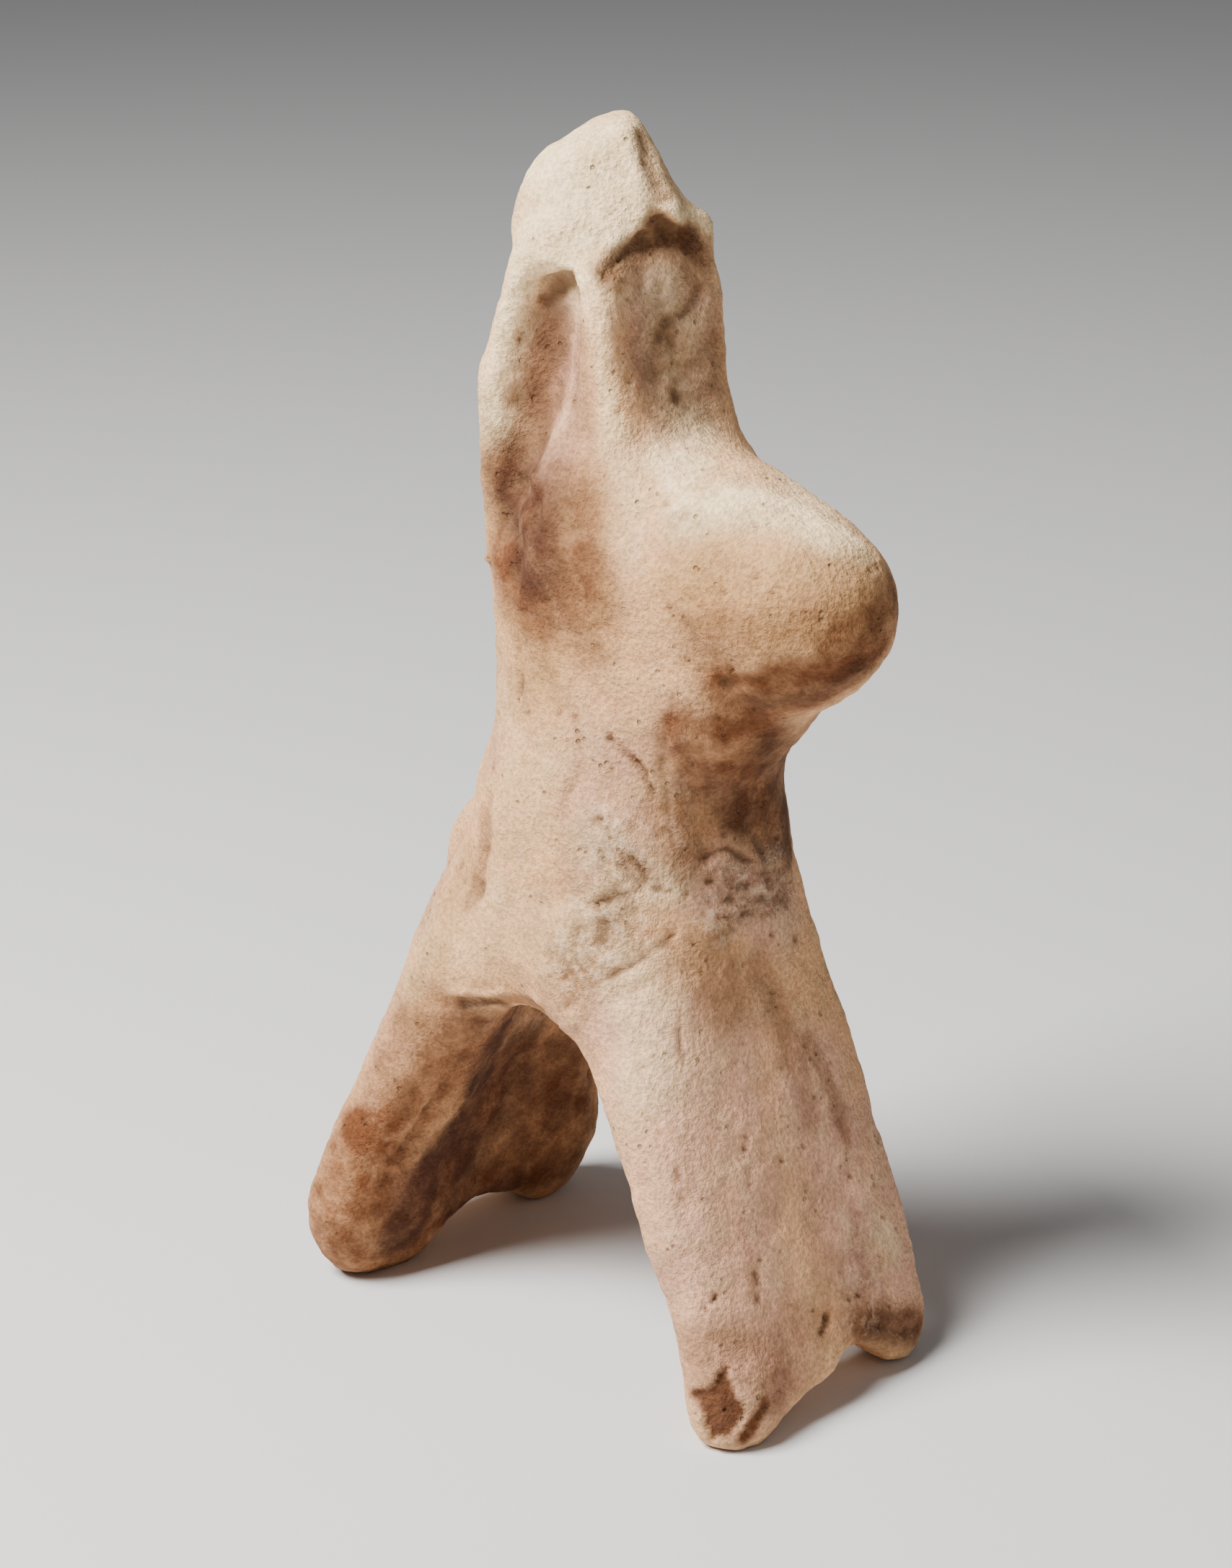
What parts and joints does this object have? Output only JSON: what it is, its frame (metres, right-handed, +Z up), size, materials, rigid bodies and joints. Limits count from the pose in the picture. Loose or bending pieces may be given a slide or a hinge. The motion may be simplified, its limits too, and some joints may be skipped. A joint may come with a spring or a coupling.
{
  "type": "terracotta horse and rider figure",
  "caption": "Handmade fired-clay figurine of a horse and a hooded rider in one lump, standing on two slab-like pairs of legs.",
  "frame": {"origin": "on the ground, in the middle of the figure's extent", "axes": "+X the way the horse faces, +Y its left, +Z up"},
  "size_m": [0.0732, 0.0436, 0.1403],
  "materials": {
    "fired_clay": null
  },
  "bodies": {
    "root": {"horse_and_rider": "fired_clay"}
  },
  "joints": []
}
